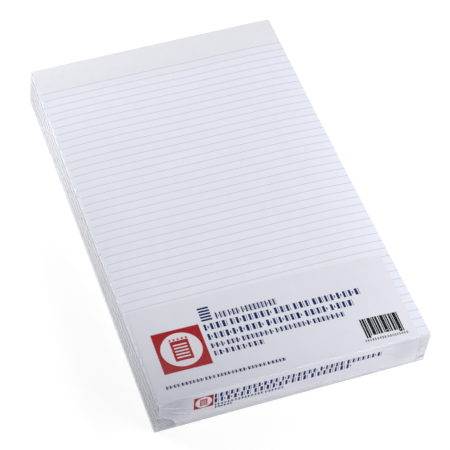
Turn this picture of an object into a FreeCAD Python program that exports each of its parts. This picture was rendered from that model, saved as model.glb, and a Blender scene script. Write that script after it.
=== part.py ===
import FreeCAD, Part
import math
import os
from FreeCAD import Vector

# A shrink-wrapped pack of ruled writing pads, in millimetres.
# X runs across the page, Y runs from the foot of the page to its gummed head, and Z is up.
# The origin is the middle of the pack's underside.

# The pads
pad_count = 5
page_width = 213.0
page_length = 355.0
sheets_per_pad = 96
sheet_thickness = 0.067
board_thickness = 0.55
gum_thickness = 0.3

# The stack: how far the top pad has slid to the right of the bottom one, and how far in
# from each edge the tight film bends the top of the stack down
stack_lean = 2.2
right_drop = 1.8
right_reach = 22.0
left_drop = 1.0
left_reach = 14.0
head_drop = 0.7
head_reach = 12.0
foot_drop = 0.7
foot_reach = 9.0
bend_share = 0.8
shallow_turn = math.radians(30.0)

# The label, which lies a little askew. Its inset is where its left edge crosses the fold, and
# its panels are measured from there along that edge.
label_thickness = 0.12
label_slack = 0.05
label_turn = math.radians(1.0)
label_left_inset = 0.8
label_width = 203.2
label_top_panel = 85.4
label_front_panel = 29.0
label_fold_depth = 3.0

# The film, drawn thicker than the real one so that it is a solid
film_thickness = 0.2
film_slack = 0.1

# The trim seal, a low bead along both ends and the right side
seal_height = 3.0
seal_radius = 0.35

# The pleats where the film is gathered at the foot of each upright corner
pleat_count = 6
pleat_lowest = math.radians(12.0)
pleat_highest = math.radians(64.0)
pleat_long = 12.0
pleat_short = 8.0
pleat_start = 4.0
pleat_rise = 0.45
pleat_width = 1.3

# The folded side's corners: the flap of folded film at the foot, and the drag wrinkles that
# run from above it down and along the end face, each starting further in than the last
ear_inset = 3.0
ear_radius = 14.0
ear_rise = 0.3
drag_count = 3
drag_start = 7.0
drag_shift = 6.0
drag_length = 17.0
drag_fall = 8.0
drag_first_depth = 6.0
drag_spacing = 8.5
drag_rise = 0.35
drag_width = 2.4

# The sealed side's corners: the tuck above the point where two seals meet
tuck_start = 1.7
tuck_height = 7.0
tuck_length = 5.5
tuck_fall = 1.5
tuck_rise = 0.7
tuck_width = 1.6

# Every pleat, wrinkle and tuck is this share as large at its end as at its start
crease_taper = 0.1

# Worked out from the sizes above
sheets_thickness = sheets_per_pad * sheet_thickness
pad_thickness = sheets_thickness + board_thickness
stack_height = pad_count * pad_thickness
lean_step = stack_lean / max(pad_count - 1, 1)
stack_base = film_thickness
foot_y = -(page_length + gum_thickness) / 2
head_y = foot_y + page_length
back_y = head_y + gum_thickness
label_outside = label_slack + label_thickness
film_gap = label_outside + film_slack
film_outside = film_gap + film_thickness


def rounding(first, corner, second):
    """A curve that leaves both sides of a corner at their given points.

    A sharp corner gets an arc. A shallow one, such as paper bent at its edge, gets a
    parabola, because its arc would have a radius of many metres.
    """
    into = (corner - first).normalize()
    out = (second - corner).normalize()
    turn = into.getAngle(out)
    if turn < shallow_turn:
        bend = Part.BezierCurve()
        bend.setPoles([first, corner, second])
        return bend.toShape()
    setback = first.distanceToPoint(corner)
    depth = setback * (1 - math.cos(turn / 2)) / math.sin(turn / 2)
    middle = corner + (out - into).normalize() * depth
    return Part.Arc(first, middle, second).toShape()


def rounded_face(corners):
    """A flat face from corners given as (point, setback).

    A setback above zero rounds the corner off from that distance along both of its sides.
    """
    ends = []
    edges = []
    for i, (point, setback) in enumerate(corners):
        if setback == 0:
            ends.append((point, point))
            continue
        first = point + (corners[i - 1][0] - point).normalize() * setback
        second = point + (corners[(i + 1) % len(corners)][0] - point).normalize() * setback
        edges.append(rounding(first, point, second))
        ends.append((first, second))
    for i in range(len(corners)):
        edges.append(Part.LineSegment(ends[i - 1][1], ends[i][0]).toShape())
    return Part.Face(Part.Wire(Part.__sortEdges__(edges)))


def left_x(height):
    """The left of the leaning stack, where a tight skin runs, at a height above its base."""
    return -page_width / 2 - stack_lean / 2 - lean_step + (stack_lean + lean_step) * height / stack_height


def right_x(height):
    """The right of the leaning stack, where a tight skin runs, at a height above its base."""
    return left_x(height) + page_width + lean_step


def bowed_top(height, low, high, low_bend, high_bend, side, above, corner):
    """The top line of a section, from its high side to its low side, as rounded corners.

    The line is level in the middle and slopes down towards each side, in step with height,
    so that lines at different heights nest. It lies above the stack and past its sides by
    the last sizes given.
    """
    share = height / stack_height
    low_drop, low_reach = low_bend
    high_drop, high_reach = high_bend
    level = height + above
    low_end = level - share * low_drop * (low_reach + side) / low_reach
    high_end = level - share * high_drop * (high_reach + side) / high_reach
    return [
        (high + side, high_end, corner),
        (high - high_reach, level, bend_share * high_reach),
        (low + low_reach, level, bend_share * low_reach),
        (low - side, low_end, corner),
    ]


def bowed_block(height, side, above, below, corner=0.0):
    """The stack up to a height as one block, made larger by the sizes given.

    It is what a section across the page and a section along it have in common.
    """
    across = bowed_top(height, left_x(height), right_x(height), (left_drop, left_reach),
                       (right_drop, right_reach), side, above, corner)
    along = bowed_top(height, foot_y, back_y, (foot_drop, foot_reach),
                      (head_drop, head_reach), side, above, corner)
    front = foot_y - side
    back = back_y + side
    left = left_x(0) - side
    right = right_x(0) + side
    across_corners = [(Vector(left, front, stack_base - below), corner),
                      (Vector(right, front, stack_base - below), corner)]
    across_corners += [(Vector(x, front, stack_base + z), radius) for x, z, radius in across]
    along_corners = [(Vector(left, front, stack_base - below), corner),
                     (Vector(left, back, stack_base - below), corner)]
    along_corners += [(Vector(left, y, stack_base + z), radius) for y, z, radius in along]
    widest = right_x(stack_height) + side - left
    crosswise = rounded_face(across_corners).extrude(Vector(0, back - front, 0))
    lengthwise = rounded_face(along_corners).extrude(Vector(widest, 0, 0))
    return crosswise.common(lengthwise)


def box(low, high):
    """A plain box between two corners."""
    size = high - low
    return Part.makeBox(size.x, size.y, size.z, low)


def layer(outline, bottom, top):
    """The slice of an upright outline between two bowed surfaces of the stack."""
    cutter_margin = 2 * (stack_lean + gum_thickness)
    piece = outline.common(bowed_block(top, cutter_margin, 0, cutter_margin))
    if bottom > 0:
        piece = piece.cut(bowed_block(bottom, cutter_margin, 0, cutter_margin))
    return piece


def pad(place):
    """One pad's sheets, board and gum; place counts pads from the bottom, from 0."""
    bottom = place * pad_thickness
    board_top = bottom + board_thickness
    top = bottom + pad_thickness
    middle_x = lean_step * (place - (pad_count - 1) / 2)
    left = middle_x - page_width / 2
    right = middle_x + page_width / 2
    roof = stack_base + top
    page = box(Vector(left, foot_y, stack_base), Vector(right, head_y, roof))
    head = box(Vector(left, head_y, stack_base), Vector(right, back_y, roof))
    return {
        "sheets": layer(page, board_top, top),
        "board": layer(page, bottom, board_top),
        "gum": layer(head, bottom, top),
    }


def prism(points, way):
    """A flat outline pushed along a way."""
    return Part.Face(Part.makePolygon(points + points[:1])).extrude(way)


def label():
    """The label: a skin over the top pad and the foot, trimmed to the folded sheet.

    The sheet's left and right edges lean by its turn. They stand upright for a short depth
    below the fold, so that its two panels meet along one line.
    """
    outside = bowed_block(stack_height, label_outside, label_outside, 0, label_thickness)
    skin = outside.cut(bowed_block(stack_height, label_slack, label_slack, 0))
    width = label_width / math.cos(label_turn)
    left = stack_lean / 2 - page_width / 2 + label_left_inset
    roof = stack_base + stack_height + 2 * label_outside
    fold = roof - 2 * label_outside - label_fold_depth
    front = foot_y - 2 * label_outside

    def edge_end(up, across):
        """A point of the unfolded sheet, at a length up its edge and across from its left one."""
        x = left + across * math.cos(label_turn) + up * math.sin(label_turn)
        return Vector(x, foot_y + up * math.cos(label_turn) - across * math.sin(label_turn), 0)

    far_left = edge_end(label_top_panel, 0)
    far_right = edge_end(label_top_panel, label_width)
    low_left = edge_end(-label_front_panel, 0)
    low_right = edge_end(-label_front_panel, label_width)
    on_top = [Vector(point.x, point.y, fold) for point in (
        Vector(left, foot_y, 0), Vector(left + width, foot_y, 0), far_right, far_left)]
    on_front = [Vector(left, front, roof), Vector(left, front, fold)]
    on_front += [Vector(point.x, front, stack_base + stack_height + point.y - foot_y)
                 for point in (low_left, low_right)]
    on_front += [Vector(left + width, front, fold), Vector(left + width, front, roof)]
    sheet = prism(on_top, Vector(0, 0, roof - fold))
    sheet = sheet.fuse(prism(on_front, Vector(0, foot_y - front, 0)))
    return skin.common(sheet).removeSplitter()


def end_face_corners():
    """The four upright corners as (corner x at the base, end plane y, way inward along x)."""
    front = foot_y - film_outside
    back = back_y + film_outside
    left = left_x(0) - film_outside
    right = right_x(0) + film_outside
    return [(left, front, 1), (right, front, -1), (left, back, 1), (right, back, -1)]


def pleat(corner, start, end, rise, width):
    """A creased ridge on an end face, from a start to an end given on that face.

    Its section is a triangle that shrinks towards the end. Its foot is sunk into the film.
    """
    corner_x, face_y, inward = corner
    outward = Vector(0, math.copysign(1, face_y), 0)
    sunk = outward * (-film_thickness / 2)
    root = Vector(corner_x + inward * start[0], face_y, start[1])
    tip = Vector(corner_x + inward * end[0], face_y, end[1])
    across = (tip - root).cross(outward).normalize() * (width / 2)
    sections = []
    for place, size in ((root, 1.0), (tip, crease_taper)):
        triangle = [place + across * size + sunk, place + outward * rise * size, place - across * size + sunk]
        sections.append(Part.makePolygon(triangle + triangle[:1]))
    return Part.makeLoft(sections, True, True)


def ear(corner):
    """The flap of folded film at the foot of a corner: a thin quarter disc on the end face."""
    corner_x, face_y, inward = corner
    outward = Vector(0, math.copysign(1, face_y), 0)
    middle = Vector(corner_x + inward * ear_inset, face_y, seal_height)
    root = middle - outward * (film_thickness / 2)
    disc = Part.makeCylinder(ear_radius, film_thickness / 2 + ear_rise, root, outward)
    reach = Vector(2 * ear_radius, 2 * ear_radius, 2 * ear_radius)
    low = middle - Vector(0, ear_radius, 0)
    return disc.common(box(low, low + reach))


def gathers(corner):
    """The gathered film by one upright corner: pleats, and a flap and wrinkles or a tuck."""
    found = []
    for i in range(pleat_count):
        angle = pleat_lowest + (pleat_highest - pleat_lowest) * i / max(pleat_count - 1, 1)
        length = pleat_short if i % 2 else pleat_long
        way_along = math.cos(angle)
        way_up = math.sin(angle)
        start = (pleat_start * way_along, seal_height + pleat_start * way_up)
        end = ((pleat_start + length) * way_along, seal_height + (pleat_start + length) * way_up)
        found.append(pleat(corner, start, end, pleat_rise, pleat_width))
    if corner[2] < 0:
        end = (tuck_start + tuck_length, tuck_height - tuck_fall)
        found.append(pleat(corner, (tuck_start, tuck_height), end, tuck_rise, tuck_width))
        return found
    found.append(ear(corner))
    for i in range(drag_count):
        across = drag_start + drag_shift * i
        height = stack_base + stack_height - drag_first_depth - drag_spacing * i
        end = (across + drag_length, height - drag_fall)
        found.append(pleat(corner, (across, height), end, drag_rise, drag_width))
    return found


def seal_beads():
    """The trim seal: a round bead along both ends and the right side, at one height."""
    front = foot_y - film_outside
    back = back_y + film_outside
    left = left_x(seal_height) - film_outside
    right = right_x(seal_height) + film_outside
    corners = [Vector(left, front, seal_height), Vector(right, front, seal_height),
               Vector(right, back, seal_height), Vector(left, back, seal_height)]
    return [Part.makeCylinder(seal_radius, start.distanceToPoint(end), start, end - start)
            for start, end in zip(corners[:-1], corners[1:])]


def film():
    """The film: a closed thin skin with its seal and pleats raised outside."""
    outside = bowed_block(stack_height, film_outside, film_outside, film_thickness, film_thickness)
    ridges = seal_beads()
    for corner in end_face_corners():
        ridges += gathers(corner)
    wrapped = outside.fuse(ridges)
    return wrapped.cut(bowed_block(stack_height, film_gap, film_gap, 0)).removeSplitter()


def save(shape, node):
    """Write one node's solid and print its volume and number of solids."""
    shape.exportStep("parts/" + node + ".step")
    print(node, "solids", len(shape.Solids), "volume", round(shape.Volume, 2), "valid", shape.isValid())


os.makedirs("parts", exist_ok=True)
for place in range(pad_count):
    number = pad_count - place
    for name, shape in pad(place).items():
        save(shape, "pad_" + str(number) + "_" + name)
save(label(), "label_sheet")
save(film(), "shrink_film")
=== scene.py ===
"""A shrink-wrapped stack of ruled writing pads, dressed around its fixed frame.

Lengths are metres. X runs across the page, Y from its foot to its gummed head, and Z is up.
Every piece stands where the frame's node stands. The frame's own stack is level in its middle
and bends down at its edges, and every surface here follows one formula for that form.
"""
import math

import bpy
import numpy as np
from bpy.props import FloatProperty, FloatVectorProperty, IntProperty, PointerProperty
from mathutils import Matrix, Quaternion, Vector


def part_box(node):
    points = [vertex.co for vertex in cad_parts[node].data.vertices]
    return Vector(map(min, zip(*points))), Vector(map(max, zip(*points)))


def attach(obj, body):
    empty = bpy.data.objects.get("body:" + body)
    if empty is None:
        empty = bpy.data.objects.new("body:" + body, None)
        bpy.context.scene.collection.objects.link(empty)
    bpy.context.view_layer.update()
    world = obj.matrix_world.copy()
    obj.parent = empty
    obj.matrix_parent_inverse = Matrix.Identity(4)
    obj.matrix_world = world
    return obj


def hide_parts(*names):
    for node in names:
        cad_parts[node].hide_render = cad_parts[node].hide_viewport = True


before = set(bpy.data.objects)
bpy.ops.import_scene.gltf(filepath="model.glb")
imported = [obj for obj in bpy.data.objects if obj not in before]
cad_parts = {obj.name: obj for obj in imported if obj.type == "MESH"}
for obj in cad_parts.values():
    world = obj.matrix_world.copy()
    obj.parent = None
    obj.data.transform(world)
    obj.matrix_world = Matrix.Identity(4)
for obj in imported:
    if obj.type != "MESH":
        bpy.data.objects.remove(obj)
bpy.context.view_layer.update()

bl_info = {
    "name": "Wrapped Writing Pads",
    "version": (1, 0, 0),
    "blender": (4, 5, 0),
    "location": "3D View > Sidebar > Pads",
    "description": "Builds a shrink-wrapped stack of ruled writing pads around its fixed frame",
    "category": "Add Mesh",
}

MM = 0.001
# Seeds of the random draws
INK_SEED = 11
SHEET_SEED = 23
BOARD_SEED = 37
GUM_SEED = 41


def corners(node):
    """A frame node's lowest and highest corners as arrays."""
    low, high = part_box(node)
    return np.array(low), np.array(high)


# Places read from the frame
PAD_COUNT = sum(name.endswith("_sheets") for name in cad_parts)
TOP_LOW, TOP_HIGH = corners("pad_1_sheets")
BASE_LOW = corners("pad_" + str(PAD_COUNT) + "_board")[0]
PAGE_LEFT, FOOT_Y = TOP_LOW[:2]
PAGE_RIGHT, HEAD_Y = TOP_HIGH[:2]
PAGE_LENGTH = HEAD_Y - FOOT_Y
BACK_Y = corners("pad_1_gum")[1][1]
STACK_BASE = BASE_LOW[2]
STACK_HEIGHT = TOP_HIGH[2] - STACK_BASE
LEAN_STEP = (TOP_LOW[0] - BASE_LOW[0]) / (PAD_COUNT - 1)
STACK_WIDTH = PAGE_RIGHT - PAGE_LEFT + LEAN_STEP


def linear(code):
    """An sRGB hex colour as linear red, green and blue."""
    shares = [int(code[i:i + 2], 16) / 255 for i in (0, 2, 4)]
    return tuple(c / 12.92 if c <= 0.04045 else ((c + 0.055) / 1.055) ** 2.4 for c in shares)


def length(name, description, millimetres):
    """A length that a user may change, given here in millimetres."""
    return FloatProperty(name=name, description=description, default=millimetres * MM,
                         unit="LENGTH", precision=5)


def angle(name, description, degrees):
    """An angle that a user may change, given here in degrees."""
    return FloatProperty(name=name, description=description, default=math.radians(degrees),
                         subtype="ANGLE")


def power(name, description, watts):
    """A lamp's power that a user may change."""
    return FloatProperty(name=name, description=description, default=watts, subtype="POWER")


def share(name, description, value):
    """A plain number that a user may change."""
    return FloatProperty(name=name, description=description, default=value, precision=3)


def colour(name, description, code):
    """A colour that a user may change, given here as sRGB hex."""
    return FloatVectorProperty(name=name, description=description, default=linear(code),
                               subtype="COLOR", size=3, min=0, max=1)


class StackSettings(bpy.types.PropertyGroup):
    """How the tight film has bent and pulled the stack."""
    right_drop: length("Right drop", "How far the right edge is bent down at the top", 1.8)
    right_reach: length("Right reach", "How far in from the right edge the bend starts", 22)
    left_drop: length("Left drop", "How far the left edge is bent down at the top", 1.0)
    left_reach: length("Left reach", "How far in from the left edge the bend starts", 14)
    head_drop: length("Head drop", "How far the head is bent down at the top", 0.7)
    head_reach: length("Head reach", "How far in from the head the bend starts", 12)
    foot_drop: length("Foot drop", "How far the foot is bent down at the top", 0.7)
    foot_reach: length("Foot reach", "How far in from the foot the bend starts", 9)
    end_pull: share("End pull", "Share of a side's drop at the head and the foot", 0.5)
    middle_pull: share("Middle pull", "Share of a side's drop half way along it", 1.3)
    near_left_lift: length("Near left lift", "Rise of the foot's left corner", 0.5)
    near_right_lift: length("Near right lift", "Rise of the foot's right corner", -0.75)
    far_left_lift: length("Far left lift", "Rise of the head's left corner", -0.75)
    far_right_lift: length("Far right lift", "Rise of the head's right corner", 0.6)
    corner_pull: length("Corner pull", "How far the foot's right corner is dragged down", 1.6)
    corner_size: length("Corner size", "Radius of the dragged corner", 38)
    sag: length("Sag", "How far the middle of the stack lies below its head", 1.4)
    head_fade: length("Head fade", "How far from the head the sag takes to form", 60)
    foot_fade: length("Foot fade", "How far from the foot the sag takes to form", 45)
    sheets: IntProperty(name="Sheets", description="Sheets in each pad", default=96, min=2)
    sheet_relief: length("Sheet relief", "How unevenly the sheets' edges lie", 0.02)
    board_relief: length("Board relief", "How unevenly the boards' edges lie", 0.06)
    gum_relief: length("Gum relief", "How unevenly the padding gum lies", 0.12)
    paper: colour("Paper", "Colour of the pages", "E6E6E9")
    page_edge: colour("Page edge", "Colour of the cut edges of the sheets", "DCDDDF")
    page_edge_shade: colour("Page edge shade", "Colour between the cut edges", "C0C0C4")
    board: colour("Board", "Colour of the chipboard backs", "C2C0BE")
    gum: colour("Gum", "Colour of the dried padding gum", "E8E8E4")


class RulingSettings(bpy.types.PropertyGroup):
    """The pale rules on the top page."""
    first: length("First rule", "From the head to the first rule", 29.2)
    pitch: length("Pitch", "From one rule to the next", 7.9375)
    width: length("Width", "Width of a rule", 0.5)
    inset: length("Inset", "From the page's left edge to the rules", 2)
    ink: colour("Ink", "Colour of the rules", "BFC2CE")
    tinted: colour("Tinted paper", "Colour of the paper where it is ruled", "E7EAF0")


class LabelSettings(bpy.types.PropertyGroup):
    """The folded label, which lies a little askew, and its print."""
    turn: angle("Turn", "Turn of the label on the pack", 1.0)
    inset: length("Inset", "From the page's left edge to the label's, at the fold", 0.8)
    width: length("Width", "Width of the label", 203.2)
    top_panel: length("Top panel", "From the fold up the label's left edge", 85.4)
    front_panel: length("Front panel", "From the fold down the label's left edge", 29)
    thickness: length("Thickness", "Thickness of the label stock", 0.12)
    slack: length("Slack", "Gap between the label and the pad", 0.05)
    ink_thickness: length("Ink", "Thickness of a printed field", 0.015)
    stock: colour("Stock", "Colour of the label stock", "E2E3E8")
    red: colour("Red", "Colour of the red print", "A8050D")
    navy: colour("Navy", "Colour of the navy print", "081F62")
    black: colour("Black", "Colour of the black print", "0B0B0F")
    white: colour("White", "Colour of the white print", "E6E3E6")


class FilmSettings(bpy.types.PropertyGroup):
    """The shrink film, its seal and its gathers."""
    lift: length("Lift", "How far the film lies over the page", 0.36)
    side: length("Side", "How far the film lies outside the stack's sides", 0.42)
    radius: length("Radius", "Radius of the film round the stack's edges", 0.8)
    seal_height: length("Seal height", "Height of the trim seal", 3)
    seal_radius: length("Seal radius", "How far the trim seal stands out", 0.35)
    pleats: IntProperty(name="Pleats", description="Pleats in each corner's fan", default=6, min=2)
    pleat_lowest: angle("Lowest pleat", "Slope of the lowest pleat", 12)
    pleat_highest: angle("Highest pleat", "Slope of the highest pleat", 64)
    pleat_start: length("Pleat start", "From the corner's foot to the start of its pleats", 4)
    pleat_long: length("Long pleat", "Length of every other pleat", 12)
    pleat_short: length("Short pleat", "Length of the pleats between", 8)
    pleat_rise: length("Pleat rise", "How far a pleat stands out", 0.45)
    ear_inset: length("Ear inset", "From a left corner to its folded flap", 3)
    ear_radius: length("Ear radius", "Radius of the folded flap", 14)
    ear_rise: length("Ear rise", "How far the folded flap stands out", 0.3)
    drags: IntProperty(name="Drags", description="Drag wrinkles at each left corner", default=3, min=1)
    drag_start: length("Drag start", "From the corner to the first drag wrinkle", 7)
    drag_shift: length("Drag shift", "How much further in each next one starts", 6)
    drag_length: length("Drag length", "How far a drag wrinkle runs along", 17)
    drag_fall: length("Drag fall", "How far a drag wrinkle runs down", 8)
    drag_depth: length("First drag", "From the top to the first drag wrinkle", 6)
    drag_spacing: length("Drag spacing", "From one drag wrinkle down to the next", 8.5)
    drag_rise: length("Drag rise", "How far a drag wrinkle stands out", 0.35)
    tuck_start: length("Tuck start", "From a right corner to its tuck", 1.7)
    tuck_height: length("Tuck height", "Height of the tuck where it starts", 7)
    tuck_length: length("Tuck length", "How far the tuck runs along", 5.5)
    tuck_fall: length("Tuck fall", "How far the tuck runs down", 1.5)
    tuck_rise: length("Tuck rise", "How far the tuck stands out", 0.7)
    gloss: share("Gloss", "Strength of the film's mirror light", 0.19)
    # Haze and Milk set the strength and colour of the white painted as glints along the film's top edges,
    # on its wrinkles and in streaks on its front, and as an even haze on its left side
    haze: share("Haze", "Milkiness of the drawn film", 0.7)
    clear: colour("Clear", "Tint of the light through the film", "FCFCFE")
    milk: colour("Milk", "Colour of the drawn film", "F8F8FE")
    # The folded grey also paints shade: in the flap's creases, the shadow under the tuck, and towards the
    # left corners and high on the front
    folded: colour("Folded", "Colour of film that is folded over and over", "8C8A98")


class StageSettings(bpy.types.PropertyGroup):
    """The floor, the lights and the camera."""
    lens: FloatProperty(name="Lens", description="Focal length", default=134.62, unit="CAMERA")
    distance: length("Distance", "From the camera to what it looks at", 1334.5)
    azimuth: angle("Azimuth", "Turn of the camera's view from +Y towards +X", 20.601)
    elevation: angle("Elevation", "How steeply the camera looks down", 49.6355)
    roll: angle("Roll", "Tilt of the camera about its own view", 2.163)
    right_power: power("Right", "Power of the softbox on the right", 11.65)
    front_power: power("Front", "Power of the softbox in front on the right", 10.6)
    left_power: power("Left", "Power of the softbox behind on the left", 12.7)
    ambient: share("Ambient", "Strength of the room's even light", 0.02)
    floor: colour("Floor", "Colour of the floor", "F4F4F6")


class PackSettings(bpy.types.PropertyGroup):
    """Everything about the pack that a user may change."""
    stack: PointerProperty(type=StackSettings)
    ruling: PointerProperty(type=RulingSettings)
    label: PointerProperty(type=LabelSettings)
    film: PointerProperty(type=FilmSettings)
    stage: PointerProperty(type=StageSettings)


# The form of the stack

# Soft swells of the top page: from the left edge, from the head, half width across, half
# width along, and height, all in millimetres
SWELLS = (
    (50, 85, 32, 36, 1.0),
    (129, 40, 16, 15, -0.7),
    (205, 210, 45, 110, -0.5),
)
# Share of a bend's reach, to either side of its end, over which it curves back to level
CURVED_SHARE = 0.8


def stack_left(height):
    """The stack's left side at a height above its base: it leans in a straight line."""
    return BASE_LOW[0] - LEAN_STEP + LEAN_STEP * PAD_COUNT * height / STACK_HEIGHT


def edge_bend(inward, drop, reach):
    """How far a surface lies below its level middle at a distance in from its bent edge.

    With slope = drop / reach and span = curved share x reach it is slope (reach - inward) up
    to reach - span, slope (reach + span - inward)^2 / (4 span) up to reach + span, then 0.
    """
    slope = drop / reach
    span = CURVED_SHARE * reach
    straight = slope * (reach - inward)
    curved = slope * (reach + span - np.minimum(inward, reach + span)) ** 2 / (4 * span)
    return np.where(inward < reach - span, straight, curved)


def top_swell(x, y, sizes):
    """Rise of the top page from its pulled corners and its soft swells.

    It is the four corner lifts blended by u v, u (1 - v) and so on, less the corner pull
    p exp(-d^2 / r^2), less the sag s (1 - exp(-(dh / fh)^2)) (1 - exp(-(df / ff)^2)) at the
    distances dh and df from head and foot, plus h exp(-(dx / a)^2 - (dy / b)^2) for each swell.
    """
    u = (x - PAGE_LEFT) / (PAGE_RIGHT - PAGE_LEFT)
    v = (y - FOOT_Y) / PAGE_LENGTH
    near = sizes.near_left_lift * (1 - u) + sizes.near_right_lift * u
    far = sizes.far_left_lift * (1 - u) + sizes.far_right_lift * u
    away = ((x - PAGE_RIGHT) ** 2 + (y - FOOT_Y) ** 2) / sizes.corner_size ** 2
    rise = near * (1 - v) + far * v - sizes.corner_pull * np.exp(-away)
    past_head = 1 - np.exp(-((HEAD_Y - y) / sizes.head_fade) ** 2)
    rise = rise - sizes.sag * past_head * (1 - np.exp(-((y - FOOT_Y) / sizes.foot_fade) ** 2))
    for from_left, from_head, across, along, swell in SWELLS:
        dx = (x - PAGE_LEFT - from_left * MM) / (across * MM)
        dy = (HEAD_Y - y - from_head * MM) / (along * MM)
        rise = rise + swell * MM * np.exp(-dx * dx - dy * dy)
    return rise


def stack_surface(x, y, height, sizes):
    """Height of the surface that lies at a level in the stack's middle.

    z = base + h + (h / H) (swell - sqrt(across^2 + along^2)), where across and along are the
    bends in from the sides and the ends, and a side's bend grows as sin(pi v) to its middle.
    """
    upward = height / STACK_HEIGHT
    left = stack_left(height)
    v = np.clip((y - FOOT_Y) / PAGE_LENGTH, 0, 1)
    pull = sizes.end_pull + (sizes.middle_pull - sizes.end_pull) * np.sin(math.pi * v)
    across = pull * (edge_bend(x - left, sizes.left_drop, sizes.left_reach)
                     + edge_bend(left + STACK_WIDTH - x, sizes.right_drop, sizes.right_reach))
    along = (edge_bend(y - FOOT_Y, sizes.foot_drop, sizes.foot_reach)
             + edge_bend(BACK_Y - y, sizes.head_drop, sizes.head_reach))
    bend = np.sqrt(across ** 2 + along ** 2)
    return STACK_BASE + height + upward * (top_swell(x, y, sizes) - bend)


# Meshes

# The least turn that stays a sharp edge on a smooth piece, in degrees
SHARP_TURN = 50


def eased(count):
    """Shares from 0 to 1 that crowd at both ends: (1 - cos(pi t)) / 2."""
    return (1 - np.cos(math.pi * np.linspace(0, 1, count))) / 2


def lattice(a, b, c):
    """The closed skin of a box lattice.

    Its points are every (a, b, c) on the outside of the lattice of three rising rows of
    numbers. Returns their three coordinates and the quads, which face outwards.
    """
    counts = (len(a), len(b), len(c))
    outside = np.ones(counts, bool)
    outside[1:-1, 1:-1, 1:-1] = False
    number = np.cumsum(outside).reshape(counts) - 1
    i, j, k = np.nonzero(outside)
    sides = ((number[:, :, -1], True), (number[:, :, 0], False), (number[-1], True),
             (number[0], False), (number[:, 0], True), (number[:, -1], False))
    quads = []
    for grid, forward in sides:
        ring = (grid[:-1, :-1], grid[1:, :-1], grid[1:, 1:], grid[:-1, 1:])
        quads.append(np.stack(ring if forward else ring[::-1], -1).reshape(-1, 4))
    return a[i], b[j], c[k], np.concatenate(quads)


def add_piece(name, points, quads, materials, node_names, face_materials=None, smooth=True):
    """Put a mesh of whole arrays of points and quads into the scene as a piece of the part."""
    mesh = bpy.data.meshes.new(name)
    mesh.vertices.add(len(points))
    mesh.vertices.foreach_set("co", np.ascontiguousarray(points, np.float32).ravel())
    mesh.loops.add(4 * len(quads))
    mesh.loops.foreach_set("vertex_index", np.ascontiguousarray(quads, np.int32).ravel())
    mesh.polygons.add(len(quads))
    mesh.polygons.foreach_set("loop_start", np.arange(0, 4 * len(quads), 4, dtype=np.int32))
    mesh.polygons.foreach_set("use_smooth", np.full(len(quads), smooth))
    for made in materials:
        mesh.materials.append(made)
    if face_materials is not None:
        mesh.polygons.foreach_set("material_index", face_materials.astype(np.int32))
    mesh.update(calc_edges=True)
    if mesh.validate():
        raise RuntimeError(name + " has a faulty mesh")
    piece = bpy.data.objects.new(name, mesh)
    bpy.context.scene.collection.objects.link(piece)
    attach(piece, "root")
    if node_names:
        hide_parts(*node_names)
    return piece


def sharpen(piece):
    """Shade a piece smooth apart from its sharp edges."""
    piece.data.set_sharp_from_angle(angle=math.radians(SHARP_TURN))


# Materials

def new_tree(name):
    """An empty material and its node tree."""
    made = bpy.data.materials.new(name)
    made.use_nodes = True
    made.node_tree.nodes.clear()
    return made, made.node_tree


def add_node(tree, kind, inputs=None, **settings):
    """Add a shader node, set its settings, and set or link its inputs by name or number."""
    made = tree.nodes.new("ShaderNode" + kind)
    for name, value in settings.items():
        setattr(made, name, value)
    for name, value in (inputs or {}).items():
        if isinstance(value, bpy.types.NodeSocket):
            tree.links.new(value, made.inputs[name])
        else:
            made.inputs[name].default_value = value
    return made


def opaque(tone):
    """A colour with full alpha, as a shader's socket wants it."""
    return (*tone, 1.0)


def clouded(tree, tone, clouds, darkest):
    """A tone that a soft pattern darkens, at its deepest to a share of itself."""
    shade = add_node(tree, "MapRange", {
        "Value": clouds, "From Min": 0.3, "From Max": 0.7, "To Min": darkest, "To Max": 1.0}).outputs[0]
    return add_node(tree, "Mix", {"Factor": 1.0, "A": tone, "B": shade},
                    data_type="RGBA", blend_type="MULTIPLY").outputs["Result"]


def matt_finish(tree, tone, roughness, relief, strength, depth):
    """End a material as a plain matt one with a tone, a roughness and a relief of some depth."""
    bump = add_node(tree, "Bump", {"Height": relief, "Strength": strength, "Distance": depth}).outputs[0]
    shader = add_node(tree, "BsdfPrincipled", {
        "Base Color": tone, "Roughness": roughness, "Normal": bump}).outputs[0]
    add_node(tree, "OutputMaterial", {"Surface": shader})


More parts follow.
